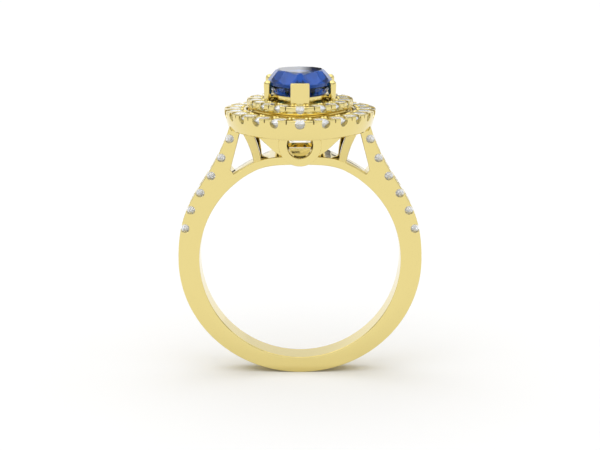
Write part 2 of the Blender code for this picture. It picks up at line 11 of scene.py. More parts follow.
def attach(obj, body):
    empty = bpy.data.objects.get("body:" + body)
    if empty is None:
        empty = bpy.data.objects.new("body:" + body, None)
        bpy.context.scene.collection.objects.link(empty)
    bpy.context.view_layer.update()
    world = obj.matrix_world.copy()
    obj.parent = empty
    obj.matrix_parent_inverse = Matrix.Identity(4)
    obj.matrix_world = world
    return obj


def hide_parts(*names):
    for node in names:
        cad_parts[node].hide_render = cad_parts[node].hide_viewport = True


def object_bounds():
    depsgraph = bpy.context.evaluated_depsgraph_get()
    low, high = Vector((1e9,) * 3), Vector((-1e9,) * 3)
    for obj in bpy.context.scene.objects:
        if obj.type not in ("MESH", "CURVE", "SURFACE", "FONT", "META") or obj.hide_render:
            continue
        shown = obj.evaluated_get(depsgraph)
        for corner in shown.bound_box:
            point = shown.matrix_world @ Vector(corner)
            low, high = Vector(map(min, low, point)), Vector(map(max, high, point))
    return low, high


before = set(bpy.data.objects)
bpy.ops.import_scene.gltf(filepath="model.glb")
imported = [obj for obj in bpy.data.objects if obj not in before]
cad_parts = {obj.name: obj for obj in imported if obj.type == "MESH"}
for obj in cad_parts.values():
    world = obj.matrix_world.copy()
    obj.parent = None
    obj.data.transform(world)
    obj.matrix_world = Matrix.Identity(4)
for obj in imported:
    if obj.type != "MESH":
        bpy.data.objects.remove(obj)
cad_low, cad_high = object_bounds()

# The sizes that the CAD solids have. A pair is (x, z) or (offset from the pear, z) unless it says
# otherwise.
FINGER_RADIUS = 8.25
SHANK_WIDTH = 2.5
SHANK_HALF_SPAN = 9.97
SHANK_BOTTOM = 9.54
SHOULDER_TOP_OUTER = (5.66, 11.12)
SHOULDER_TOP_INNER = (4.70, 11.12)
SHOULDER_HANDLES = ((9.98, 5.63), (7.36, 5.74))
SPLIT_ANGLE = 53.0  # where shoulder and bridge part, from +X
CROTCH_DEPTH = 0.43  # from the bridge's outer face to the bottom of that split
BRIDGE_THICKNESS = 0.7
BRIDGE_FLARE = ((0.9, 3.2), (3.7, 1.25))  # (distance from the middle, half width)
BRIDGE_HOLE_RADIUS = 1.4
COLLAR_RADIUS = 1.70
COLLAR_BORE = 1.02
COLLAR_CENTRE_Z = FINGER_RADIUS + COLLAR_RADIUS - 0.02
COLLAR_FACE = 4.05
COLLAR_LENGTH = 2.85
COLLAR_WEB = 0.4
COLLAR_WEB_TOP = 9.35
COLLAR_CUT_Z = 10.55
WING_OUTLINE = ((1.50, 8.96), (2.06, 9.31), (3.06, 10.23), (3.55, 10.67), (1.60, 10.67))
WING_DEPTHS = (2.75, 3.25)  # along the finger
PEAR_RADIUS = 2.5
PEAR_LENGTH = 7.0
PEAR_CENTRE_Y = 1.0
GIRDLE_Z = 14.34
GIRDLE_THICKNESS = 0.24
GIRDLE_SPREAD = 0.12
BULGE = (-0.27, 13.62)  # where the steep upper pavilion ends
TABLE_Z = 15.5
TABLE_SHARE = 0.70
CULET_Z = 12.45
CULET_Y = 0.35
OUTER_ROW, OUTER_COUNT, OUTER_STONE, OUTER_TOP = 2.83, 22, 1.40, 12.28
OUTER_SECTION = ((3.66, 12.28), (3.70, 12.20), (3.68, 11.9), (3.36, 10.78), (3.28, 10.70),
                 (2.05, 10.70), (1.90, 11.2), (1.88, 12.28))
INNER_ROW, INNER_COUNT, INNER_STONE, INNER_TOP = 1.12, 16, 1.30, 13.10
INNER_SECTION = ((1.78, 13.10), (1.84, 13.03), (1.84, 12.70), (1.74, 12.38), (1.50, 12.12),
                 (1.34, 12.06), (0.45, 12.06), (0.36, 12.15), (0.36, 13.10))
OUTER_SCALLOP = (0.39, 0.27)  # radius, and depth of its centre below the top
INNER_SCALLOP = (0.34, 0.20)
SHOULDER_SCALLOP = (0.36, 0.32)
GIRDLE_SINK = 0.24  # a small stone's girdle below the surface it is set in
CONE_FOOT_Z = 8.3
CONE_FOOT_RADII = (1.75, 1.41)  # outside and inside
CONE_TOP_Z = 12.03
CONE_TOP_OFFSETS = (1.76, 1.34)
CONE_CENTRE_Y = 0.9
STRUT_FOOT = (3.42, 1.02)  # (x, y), as are the tops
STRUT_TOPS = ((4.26, -3.0), (4.26, 3.8))
STRUT_WIDTH = 0.60
STRUT_WIDENING = 0.20
STRUT_DEPTH = 0.75
STRUT_TOP_Z = 10.95
STRUT_BOW = 0.16
STRUT_FILLET = 0.06
RAIL_SECTION = ((-0.12, 13.60), (-0.12, 13.14), (-0.50, 13.14), (-0.50, 13.42), (-0.26, 13.56))
PRONG_RADIUS = 0.33
PRONG_FOOT_RADIUS = 0.26
PRONG_OFFSET = 0.37
PRONG_FOOT_Z = 12.75
ARM_Z, ARM_RADIUS, ARM_LENGTH = 13.37, 0.20, 0.70  # of the short bars from prong to rail
PRONGS = ((-0.75, 14.73), (2.40, 14.90))  # (y, height of the top)
POINT_PRONG_WIDTH = 1.5
POINT_PRONG_Y = (-3.90, -3.05)
POINT_PRONG_Z = (13.02, 14.80)
SHOULDER_STONE, SHOULDER_COUNT, SHOULDER_PITCH, SHOULDER_FIRST = 1.36, 6, 1.67, 1.03

# Fineness and finish of the visible surfaces.
HALF_POINTS = 96  # steps along half of a pear outline
COARSE_POINTS = 48  # the same, for cutters and the big stone
ROUND_STEPS = 40
FILLET = 0.07
SOFT_EDGE = 0.05
SPLIT_WIDTH = 0.09  # of the saw cuts between stones
SEAT_GAP = 0.015  # between a small stone and its pocket
OVERLAP = 0.02  # of soldered pieces, so that no gap shows

# The studio's brightness, as (place, level): by height (the sine of the elevation), and from left
# to right.
WORLD_STRENGTH = 1.75
CEILING_LEVELS = ((0.0, 0.60), (0.12, 0.58), (0.30, 0.50), (0.38, 0.22), (0.54, 0.26), (0.62, 0.95),
                  (0.90, 0.95), (1.0, 0.70))
ACROSS_LEVELS = ((0.0, 0.85), (0.30, 1.0), (0.52, 1.0), (0.66, 0.90), (0.72, 0.60), (0.86, 1.0),
                 (1.0, 0.9))
# A dark card near the horizon, right of the middle, that the big stone's table mirrors.
CARD_HEIGHT = ((0.0, 0.0), (0.055, 0.0), (0.065, 1.0), (0.135, 1.0), (0.145, 0.0), (1.0, 0.0))
CARD_ACROSS = ((0.0, 0.0), (0.5015, 0.0), (0.503, 1.0), (0.60, 1.0), (0.61, 0.0), (1.0, 0.0))
CARD_COLOUR = (0.03, 0.03, 0.04, 1)

# The viewpoint, in front of the pear's point and a little above the head.
CAMERA_PLACE = (0, -127.0, 28.6)
CAMERA_DIP = 11.53  # degrees below level
CAMERA_LENS = 94.36

BODY = "root"


def mm(*values):
    """Millimetres as metres: one value gives a float, three give a Vector."""
    if len(values) == 1:
        return values[0] * 0.001
    return Vector(values) * 0.001


# --- materials ---------------------------------------------------------------------


def principled(name, **inputs):
    """A new material, its node tree and its Principled shader, with inputs set by name."""
    material = bpy.data.materials.new(name)
    material.use_nodes = True
    shader = material.node_tree.nodes["Principled BSDF"]
    for key, value in inputs.items():
        shader.inputs[key.replace("_", " ")].default_value = value
    return material, material.node_tree, shader


def make_gold():
    """Polished 18 carat gold, with a faint uneven polish and softened cut edges."""
    material, tree, shader = principled(
        "polished_gold", Base_Color=(0.80, 0.667, 0.272, 1), Metallic=1.0, Roughness=0.08)
    place = tree.nodes.new("ShaderNodeTexCoord")
    noise = tree.nodes.new("ShaderNodeTexNoise")
    noise.inputs["Scale"].default_value = 900  # per metre
    noise.inputs["Detail"].default_value = 3
    tree.links.new(place.outputs["Object"], noise.inputs["Vector"])
    spread = tree.nodes.new("ShaderNodeMapRange")
    spread.inputs["To Min"].default_value = 0.05
    spread.inputs["To Max"].default_value = 0.13
    tree.links.new(noise.outputs["Fac"], spread.inputs["Value"])
    tree.links.new(spread.outputs["Result"], shader.inputs["Roughness"])
    soften = tree.nodes.new("ShaderNodeBevel")
    soften.samples = 4
    soften.inputs["Radius"].default_value = mm(0.035)
    tree.links.new(soften.outputs["Normal"], shader.inputs["Normal"])
    return material


def make_diamond():
    """Partly clear and partly white, with a faint painted glow: emission that stands in for the
    light that real facets gather.
    """
    material, _, _ = principled(
        "diamond", Base_Color=(0.93, 0.95, 1.0, 1), Roughness=0.0, IOR=2.417,
        # The emission is painted light: a faint glow given to the stone as its own light, for the
        # light its facets would gather.
        Transmission_Weight=0.72, Emission_Color=(0.9, 0.94, 1.0, 1), Emission_Strength=0.08)
    return material


def make_sapphire():
    """Blue glass that takes up more of the light the further the light goes through it."""
    material, tree, _ = principled(
        "sapphire", Base_Color=(0.10, 0.30, 0.75, 1), Roughness=0.0, IOR=1.77,
        Transmission_Weight=1.0, Specular_Tint=(0.06, 0.18, 0.62, 1))
    depth = tree.nodes.new("ShaderNodeVolumeAbsorption")
    depth.inputs["Color"].default_value = (0.45, 0.60, 0.77, 1)
    depth.inputs["Density"].default_value = 620.0
    tree.links.new(depth.outputs["Volume"], tree.nodes["Material Output"].inputs["Volume"])
    return material


# --- mesh tools --------------------------------------------------------------------


def mesh_from(bm, name, smooth_angle=35):
    """A bmesh as a mesh, smooth-shaded with sharp edges above an angle, or flat for none."""
    bmesh.ops.recalc_face_normals(bm, faces=bm.faces)
    mesh = bpy.data.meshes.new(name)
    bm.to_mesh(mesh)
    bm.free()
    if smooth_angle:
        mesh.shade_smooth()
        mesh.set_sharp_from_angle(angle=radians(smooth_angle))
    return mesh


def add_object(name, mesh, matrix=None):
    """A new object in the scene."""
    obj = bpy.data.objects.new(name, mesh)
    bpy.context.scene.collection.objects.link(obj)
    if matrix is not None:
        obj.matrix_world = matrix
    return obj


def applied(obj):
    """Swaps the object's mesh for the one that its modifiers make."""
    graph = bpy.context.evaluated_depsgraph_get()
    graph.update()
    mesh = bpy.data.meshes.new_from_object(obj.evaluated_get(graph))
    obj.modifiers.clear()
    obj.data = mesh
    return obj


def bevelled(obj, width, segments=3, angle=50):
    """Rounds the object's edges that are sharper than an angle."""
    modifier = obj.modifiers.new("bevel", "BEVEL")
    modifier.width = mm(width)
    modifier.segments = segments
    modifier.limit_method = "ANGLE"
    modifier.angle_limit = radians(angle)
    modifier.use_clamp_overlap = True
    return applied(obj)


def gathered(parts):
    """One bmesh that holds a copy of each (mesh, matrix)."""
    bm = bmesh.new()
    for mesh, matrix in parts:
        piece = mesh.copy()
        piece.transform(matrix)
        bm.from_mesh(piece)
        bpy.data.meshes.remove(piece)
    return bm


def combined(obj, parts, operation="DIFFERENCE"):
    """Cuts placed meshes from an object, or unites them with it."""
    bm = gathered(parts)
    mesh = bpy.data.meshes.new(obj.name + "_tool")
    bm.to_mesh(mesh)
    bm.free()
    tool = add_object(obj.name + "_tool", mesh)
    modifier = obj.modifiers.new("boolean", "BOOLEAN")
    modifier.operation = operation
    modifier.object = tool
    modifier.use_self = True
    applied(obj)
    bpy.data.objects.remove(tool)
    obj.data.shade_smooth()
    obj.data.set_sharp_from_angle(angle=radians(32))
    return obj


def loft(loops, capped):
    """A closed body through rings of points: capped at both ends, or joined end to end."""
    bm = bmesh.new()
    rings = [[bm.verts.new(point) for point in loop] for loop in loops]
    pairs = list(zip(rings, rings[1:]))
    if not capped:
        pairs.append((rings[-1], rings[0]))
    for lower, upper in pairs:
        count = len(lower)
        for i in range(count):
            j = (i + 1) % count
            bm.faces.new((lower[i], lower[j], upper[j], upper[i]))
    if capped:
        bm.faces.new(rings[0][::-1])
        bm.faces.new(rings[-1])
    bmesh.ops.remove_doubles(bm, verts=bm.verts, dist=1e-7)
    bmesh.ops.dissolve_degenerate(bm, edges=bm.edges, dist=1e-7)
    return bm


def turned(profile, name, steps=ROUND_STEPS):
    """A solid of revolution about local Z from (radius, height) points in millimetres."""
    bm = bmesh.new()
    rings = []
    for radius, height in profile:
        if radius < 1e-6:
            rings.append([bm.verts.new(mm(0, 0, height))])
            continue
        angles = [2 * pi * i / steps for i in range(steps)]
        rings.append([bm.verts.new(mm(radius * cos(a), radius * sin(a), height)) for a in angles])
    closed = hypot(profile[0][0] - profile[-1][0], profile[0][1] - profile[-1][1]) < 1e-6
    for a, b in zip(rings, rings[1:]):
        for i in range(steps):
            j = (i + 1) % steps
            corners = [a[i % len(a)], a[j % len(a)], b[j % len(b)], b[i % len(b)]]
            corners = list(dict.fromkeys(corners))
            if len(corners) > 2:
                bm.faces.new(corners)
    if closed:
        bmesh.ops.remove_doubles(bm, verts=bm.verts, dist=1e-8)
    return mesh_from(bm, name)


def rod(name, radius, length, steps=ROUND_STEPS):
    """A round bar along local Z from 0 to its length."""
    return turned([(0, length), (radius, length), (radius, 0), (0, 0)], name, steps)


def box_mesh(name, low, high):
    """A box between two corners in millimetres."""
    bm = bmesh.new()
    bmesh.ops.create_cube(bm, size=1)
    bmesh.ops.scale(bm, vec=[mm(b - a) for a, b in zip(low, high)], verts=bm.verts)
    bmesh.ops.translate(bm, vec=[mm((a + b) / 2) for a, b in zip(low, high)], verts=bm.verts)
    return mesh_from(bm, name)


def standing(point, up):
    """A matrix that puts local Z along up at a point."""
    rotation = Vector(up).to_track_quat("Z", "Y").to_matrix().to_4x4()
    return Matrix.Translation(point) @ rotation


def finish_piece(obj, material, slot, *nodes):
    """Gives a piece its material and its body, and hides the CAD nodes that it stands for."""
    obj.data.materials.clear()
    obj.data.materials.append(material)
    if slot == "gold":
        even = obj.modifiers.new("even_shading", "WEIGHTED_NORMAL")
        even.keep_sharp = True
        applied(obj)
    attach(obj, BODY)
    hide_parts(*nodes)
    return obj


# --- the pear outline --------------------------------------------------------------

PEAR_FRONT = PEAR_LENGTH - PEAR_RADIUS
PEAR_FLANK = (PEAR_RADIUS**2 + PEAR_FRONT**2) / (2 * PEAR_RADIUS)


def pear_arcs(offset):
    """(centre x, centre y, radius, first angle, last angle) of the +X half, tip to back."""
    tip_y = PEAR_CENTRE_Y - PEAR_FRONT
    flank = PEAR_FLANK + offset
    tip = asin((PEAR_FLANK - PEAR_RADIUS) / (PEAR_FLANK + min(offset, 0)))
    arcs = []
    if offset > 0:
        arcs.append((0, tip_y, offset, 0, tip))
    arcs.append((PEAR_RADIUS - PEAR_FLANK, PEAR_CENTRE_Y, flank, tip, pi / 2))
    arcs.append((0, PEAR_CENTRE_Y, PEAR_RADIUS + offset, pi / 2, pi))
    return arcs


def pear_at(offset, distance):
    """(x, y, normal angle) at a distance along the +X half of the outline from its tip."""
    arcs = pear_arcs(offset)
    for number, (x, y, radius, first, last) in enumerate(arcs):
        length = radius * (last - first)
        if distance <= length or number == len(arcs) - 1:
            angle = first + distance / radius
            return x + radius * sin(angle), y - radius * cos(angle), angle
        distance -= length
    return None


def pear_half_length(offset):
    """From the tip to the middle of the back."""
    return sum(radius * (last - first) for _, _, radius, first, last in pear_arcs(offset))


def pear_points(offset, half):
    """(x, y) all the way round, with this many steps on each half."""
    length = pear_half_length(offset)
    right = [pear_at(offset, length * i / half)[:2] for i in range(half + 1)]
    return right + [(-x, y) for x, y in right[-2:0:-1]]


def pear_loop(offset, z, half=HALF_POINTS):
    """The outline at a height, as points in metres."""
    return [mm(x, y, z) for x, y in pear_points(offset, half)]


def pear_round(offset, share):
    """(x, y, normal angle) at a share of the way round, from the tip over the +X half."""
    half = pear_half_length(offset)
    distance = 2 * half * (share % 1.0)
    if distance <= half:
        return pear_at(offset, distance)
    x, y, angle = pear_at(offset, 2 * half - distance)
    return -x, y, -angle


def row_stations(offset, count, shift=0.0):
    """(x, y, normal angle) of places spaced evenly round a halo; shift is in pitches."""
    return [pear_round(offset, (i + shift) / count) for i in range(count)]


def outward_at(angle):
    """The unit vector out of the outline where its normal has this angle from -Y."""
    return Vector((sin(angle), -cos(angle), 0))


# --- stones ------------------------------------------------------------------------

# Heights in a round brilliant, as shares of its diameter.
HALF_GIRDLE = 0.018
PAVILION = 0.44


def cut_stone(outline, low, high, planes, name):
    """A convex stone: a prism, cut by (point, outward normal) planes, in millimetres."""
    bm = bmesh.new()
    bottom = [bm.verts.new((x, y, low)) for x, y in outline]
    top = [bm.verts.new((x, y, high)) for x, y in outline]
    count = len(outline)
    for i in range(count):
        j = (i + 1) % count
        bm.faces.new((bottom[i], bottom[j], top[j], top[i]))
    bm.faces.new(bottom[::-1])
    bm.faces.new(top)
    for point, normal in planes:
        everything = bm.verts[:] + bm.edges[:] + bm.faces[:]
        cut = bmesh.ops.bisect_plane(bm, geom=everything, dist=1e-5, plane_co=point,
                                     plane_no=Vector(normal).normalized(), clear_outer=True)
        edges = [part for part in cut["geom_cut"] if isinstance(part, bmesh.types.BMEdge)]
        if len(edges) > 2:
            bmesh.ops.contextual_create(bm, geom=edges)
    bmesh.ops.scale(bm, vec=(0.001,) * 3, verts=bm.verts)
    return mesh_from(bm, name, smooth_angle=0)


def tilted(azimuth, slope):
    """The unit normal that leans outwards along an azimuth, at a slope from level."""
    return Vector((cos(azimuth) * sin(slope), sin(azimuth) * sin(slope), cos(slope)))


def brilliant(diameter, name):
    """A round brilliant with 57 facets about its girdle, table up."""
    radius = diameter / 2
    girdle = HALF_GIRDLE * diameter
    table_z, table = 0.165 * diameter, 0.28 * diameter
    culet = -PAVILION * diameter
    planes = [((0, 0, table_z), (0, 0, 1))]

    def around(count, first, reach, z, slope, down=False):
        """A ring of facet planes through points this far from the axis."""
        for i in range(count):
            azimuth = 2 * pi * (i + first) / count
            normal = tilted(azimuth, slope)
            if down:
                normal.z = -normal.z
            planes.append(((reach * cos(azimuth), reach * sin(azimuth), z), normal))

    crown = atan2(table_z - girdle, radius - table)
    pavilion = atan2(-girdle - culet, radius)
    near = radius * cos(pi / 16)
    around(8, 0, radius, girdle, crown)
    around(16, 0.5, near, girdle, crown + radians(8))
    around(8, 0.5, table * cos(pi / 8), table_z, radians(20))
    around(8, 0, radius, -girdle, pavilion, down=True)
    around(16, 0.5, near, -girdle, pavilion + radians(2.2), down=True)
    outline = [(radius * cos(2 * pi * i / 32), radius * sin(2 * pi * i / 32)) for i in range(32)]
    return cut_stone(outline, culet, table_z, planes, name)


def pear_brilliant(name):
    """The sapphire: mains, halves and stars above, and three tiers of facets below."""
    top, bottom = GIRDLE_Z + GIRDLE_THICKNESS, GIRDLE_Z
    bulge, bulge_z = BULGE
    centre = Vector((0, CULET_Y, 0))
    mains = 12
    planes = [((0, 0, TABLE_Z), (0, 0, 1))]

    def station(share, offset=GIRDLE_SPREAD):
        """A place on an outline, its outward normal, and its distance from the centre line."""
        x, y, angle = pear_round(offset, share)
        place, outward = Vector((x, y, 0)), outward_at(angle)
        return place, outward, (place - centre).dot(outward)

    def facet(place, outward, z, slope, down=False):
        """A plane along the outline's tangent at a place, sloping up or down inwards."""
        normal = tilted(atan2(outward.y, outward.x), slope)
        if down:
            normal.z = -normal.z
        planes.append((Vector((place.x, place.y, z)), normal))

    for i in range(mains):
        place, outward, reach = station(i / mains)
        facet(place, outward, top, atan2(TABLE_Z - top, (1 - TABLE_SHARE) * reach))
        for share in (0.25, 0.75):
            place, outward, reach = station((i + share) / mains)
            facet(place, outward, top, atan2(TABLE_Z - top, (1 - TABLE_SHARE) * reach) + radians(7))
            facet(place, outward, bottom, atan2(bottom - bulge_z, GIRDLE_SPREAD - bulge), down=True)
        place, outward, _ = station((i + 0.5) / mains)
        edge = centre + (place - centre) * TABLE_SHARE * 0.96
        facet(edge, outward, TABLE_Z, radians(24))
        place, outward, reach = station(i / mains, bulge)
        facet(place, outward, bulge_z, atan2(bulge_z - CULET_Z, reach), down=True)
        for share in (0.28, 0.72):
            place, outward, reach = station((i + share) / mains, bulge)
            slope = atan2(bulge_z - CULET_Z, reach) + radians(4)
            facet(place, outward, bulge_z + 0.02, slope, down=True)
    return cut_stone(pear_points(GIRDLE_SPREAD, COARSE_POINTS), CULET_Z, TABLE_Z, planes, name)


def seat_mesh(diameter, name):
    """The pocket for a small stone: straight above the girdle, conical below."""
    radius = diameter / 2 + SEAT_GAP
    top, drill = 0.7, 0.16
    bottom = -PAVILION * diameter - 0.12
    return turned([(0, top), (radius, top), (radius, -HALF_GIRDLE * diameter - SEAT_GAP),
                   (drill, -0.38 * diameter), (drill, bottom), (0, bottom)], name, 28)


def place_diamonds(material):
    """Every round brilliant, each in the place of its own CAD node."""
    facets = {}
    for size in (SHOULDER_STONE, OUTER_STONE, INNER_STONE):
        facets[size] = brilliant(size, f"brilliant_{size:.2f}")
        facets[size].materials.append(material)

    def place(name, node, size, matrix):
        """One stone; stones of a size share a mesh."""
        stone = add_object(name, facets[size], matrix)
        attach(stone, BODY)
        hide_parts(node)

    for number, (x, z, normal) in enumerate(shoulder_stations(), 1):
        for side, word in ((-1, "left"), (1, "right")):
            up = shoulder_up(side, normal)
            matrix = standing(mm(side * x, 0, z) - up * mm(GIRDLE_SINK), up)
            place(f"shoulder_stone_{word}_{number}", f"shoulder_diamond_{word}_{number}",
                  SHOULDER_STONE, matrix)
    for word, row, count, top, size in (
        ("outer", OUTER_ROW, OUTER_COUNT, OUTER_TOP, OUTER_STONE),
        ("inner", INNER_ROW, INNER_COUNT, INNER_TOP, INNER_STONE),
    ):
        for number, (x, y, angle) in enumerate(row_stations(row, count), 1):
            turn = Matrix.Rotation(angle + pi / 16 * (number % 3), 4, "Z")
            place(f"{word}_halo_stone_{number:02d}", f"{word}_halo_diamond_{number:02d}", size,
                  Matrix.Translation(mm(x, y, top - GIRDLE_SINK)) @ turn)


# --- shank -------------------------------------------------------------------------


def shoulder_edge(count):
    """The right shoulder's outer edge as a Bezier, from the band's widest place up."""
    start = Vector((SHANK_HALF_SPAN, 0))
    first, second = (Vector(handle) for handle in SHOULDER_HANDLES)
    end = Vector(SHOULDER_TOP_OUTER)
    points = []
    for i in range(count + 1):
        t = i / count
        point = (start * (1 - t) ** 3 + first * 3 * t * (1 - t) ** 2
                 + second * 3 * t * t * (1 - t) + end * t**3)
        points.append((point.x, point.y))
    return points


def shoulder_stations(shift=0.0, count=SHOULDER_COUNT):
    """(x, z, outward normal) of places a stone's pitch apart, from the top down."""
    edge = shoulder_edge(400)[::-1]
    stations = []
    target = SHOULDER_FIRST + shift * SHOULDER_PITCH
    travelled = 0.0
    for (x0, z0), (x1, z1) in zip(edge, edge[1:]):
        step = hypot(x1 - x0, z1 - z0)
        while travelled + step >= target and len(stations) < count:
            share = (target - travelled) / step
            normal = Vector((z0 - z1, x1 - x0)).normalized()
            stations.append((x0 + (x1 - x0) * share, z0 + (z1 - z0) * share, normal))
            target += SHOULDER_PITCH
        travelled += step
    return stations


def shoulder_up(side, normal):
    """A shoulder's outward normal in 3-D, mirrored for the left side."""
    return Vector((side * normal.x, 0, normal.y))


def filleted_plate(name, outline):
    """A flat shape in the XZ plane, as thick as the shank is wide, with rounded edges."""
    curve = bpy.data.curves.new(name, "CURVE")
    curve.dimensions = "2D"
    curve.fill_mode = "BOTH"
    curve.extrude = mm(SHANK_WIDTH / 2 - FILLET)
    curve.bevel_depth = mm(FILLET)
    curve.bevel_resolution = 3
    curve.offset = -mm(FILLET)
    spline = curve.splines.new("POLY")
    spline.points.add(len(outline) - 1)
    for point, (x, z) in zip(spline.points, outline):
        point.co = (mm(x), mm(z), 0, 1)
    spline.use_cyclic_u = True
    obj = bpy.data.objects.new(name + "_outline", curve)
    bpy.context.scene.collection.objects.link(obj)
    obj.rotation_euler = (pi / 2, 0, 0)
    graph = bpy.context.evaluated_depsgraph_get()
    graph.update()
    mesh = bpy.data.meshes.new_from_object(obj.evaluated_get(graph))
    matrix = obj.matrix_world.copy()
    bpy.data.objects.remove(obj)
    bm = bmesh.new()
    bm.from_mesh(mesh)
    bm.transform(matrix)
    bmesh.ops.remove_doubles(bm, verts=bm.verts, dist=1e-7)
    return add_object(name, mesh_from(bm, name))


def make_shank(gold):
    """The band and its shoulders, cut out round each diamond and split between them."""
    right_shoulder = shoulder_edge(48)[::-1]
    lower = [(SHANK_HALF_SPAN * cos(radians(a)), SHANK_BOTTOM * sin(radians(a)))
             for a in range(-2, -180, -2)]
    left_shoulder = [(-x, z) for x, z in right_shoulder[::-1]]
    split = radians(SPLIT_ANGLE)
    crotch = FINGER_RADIUS + BRIDGE_THICKNESS + CROTCH_DEPTH
    left_inner = [(-SHOULDER_TOP_INNER[0], SHOULDER_TOP_INNER[1]),
                  (-crotch * cos(split), crotch * sin(split))]
    sweep = 180 + 2 * SPLIT_ANGLE
    angles = [radians(180 - SPLIT_ANGLE + sweep * i / 144) for i in range(145)]
    hole = [(FINGER_RADIUS * cos(angle), FINGER_RADIUS * sin(angle)) for angle in angles]
    right_inner = [(-x, z) for x, z in left_inner[::-1]]
    outline = right_shoulder + lower + left_shoulder + left_inner + hole + right_inner
    shank = filleted_plate("band", outline)

    outside = [(offset + 0.01, z - 0.01) for offset, z in OUTER_SECTION[4:0:-1]]
    halo = loft([pear_loop(offset, z) for offset, z in outside], capped=True)
    combined(shank, [(mesh_from(halo, "halo_room"), Matrix())])
    pocket = seat_mesh(SHOULDER_STONE, "shoulder_seat")
    bar_radius, bar_depth = SHOULDER_SCALLOP
    bar = rod("shoulder_bar", bar_radius, SHANK_WIDTH + 1, 28)
    half = SPLIT_WIDTH / 2
    slot = box_mesh("shoulder_split", (-half, -2, -0.26), (half, 2, 1))
    parts = []
    for side in (1, -1):
        for x, z, normal in shoulder_stations():
            up = shoulder_up(side, normal)
            parts.append((pocket, standing(mm(side * x, 0, z) - up * mm(GIRDLE_SINK), up)))
            start = mm(side * x, -SHANK_WIDTH / 2 - 0.5, z) - up * mm(bar_depth)
            parts.append((bar, standing(start, (0, 1, 0))))
        for x, z, normal in shoulder_stations(0.5, SHOULDER_COUNT - 1):
            parts.append((slot, standing(mm(side * x, 0, z), shoulder_up(side, normal))))
    combined(shank, parts)
    return finish_piece(shank, gold, "gold", "shank")


def beads(name, places, gold):
    """Small domed grains that hold the stones, joined into one piece."""
    profile = [(0, 0.11), (0.075, 0.10), (0.13, 0.06), (0.155, 0.0), (0.155, -0.12), (0, -0.12)]
    grain = turned(profile, name + "_grain", 14)
    bm = gathered((grain, matrix) for matrix in places)
    obj = add_object(name, mesh_from(bm, name, 60))
    return finish_piece(obj, gold, "gold")


def shoulder_beads(gold):
    """Grains along both edges of each shoulder: pairs between stones and singles at the ends."""
    sets = ((0.5, SHOULDER_COUNT - 1, (-0.17, 0.17)), (-0.5, 1, (0.12,)),
            (SHOULDER_COUNT - 0.5, 1, (-0.15,)))
    places = []
    for side in (1, -1):
        for shift, count, offsets in sets:
            for x, z, normal in shoulder_stations(shift, count):
                up = shoulder_up(side, normal)
                along = Vector((side * normal.y, 0, -normal.x))
                for offset in offsets:
                    for y in (-0.62, 0.62):
                        point = mm(side * x, y, z) + along * mm(offset) - up * mm(0.09)
                        places.append(standing(point, up))
    return beads("shoulder_beads", places, gold)


# --- head --------------------------------------------------------------------------


def bridge_half_width(x):
    """Wide under the head and as narrow as the shank at the ends, with a smooth flare."""
    (near_x, near_w), (far_x, far_w) = BRIDGE_FLARE
    share = max(0.0, min(1.0, (far_x - abs(x)) / (far_x - near_x)))
    share = share * share * (3 - 2 * share) * 0.35 + share * 0.65
    return far_w + share * (near_w - far_w)


def collar_room(side):
    """A bar a little slimmer than a collar, and its place: it clears the way for the collar."""
    bar = rod("collar_room", COLLAR_RADIUS - OVERLAP, COLLAR_LENGTH + 1, 64)
    return bar, standing(mm(0, side * (COLLAR_FACE + 1), COLLAR_CENTRE_Z), (0, -side, 0))


def make_bridge(gold):
    """The saddle under the head, with a hole below the big stone."""
    tuck = 0.01  # keeps the ends, which run into the shank, just under its faces
    inner, outer = FINGER_RADIUS + tuck, FINGER_RADIUS + BRIDGE_THICKNESS
    sweep = 90 - SPLIT_ANGLE + 1.5
    count = 96
    loops = []
    for i in range(count + 1):
        angle = radians(90 - sweep + 2 * sweep * i / count)
        half = bridge_half_width(outer * cos(angle)) - tuck
        corners = ((inner, -half), (outer, -half), (outer, half), (inner, half))
        loops.append([mm(radius * cos(angle), y, radius * sin(angle)) for radius, y in corners])
    bridge = add_object("saddle", mesh_from(loft(loops, capped=True), "saddle"))
    bevelled(bridge, FILLET)
    hole = rod("gallery_hole", BRIDGE_HOLE_RADIUS, 3, 64)
    parts = [(hole, Matrix.Translation(mm(0, CONE_CENTRE_Y, 7))), collar_room(-1), collar_room(1)]
    combined(bridge, parts)
    return finish_piece(bridge, gold, "gold", "bridge")


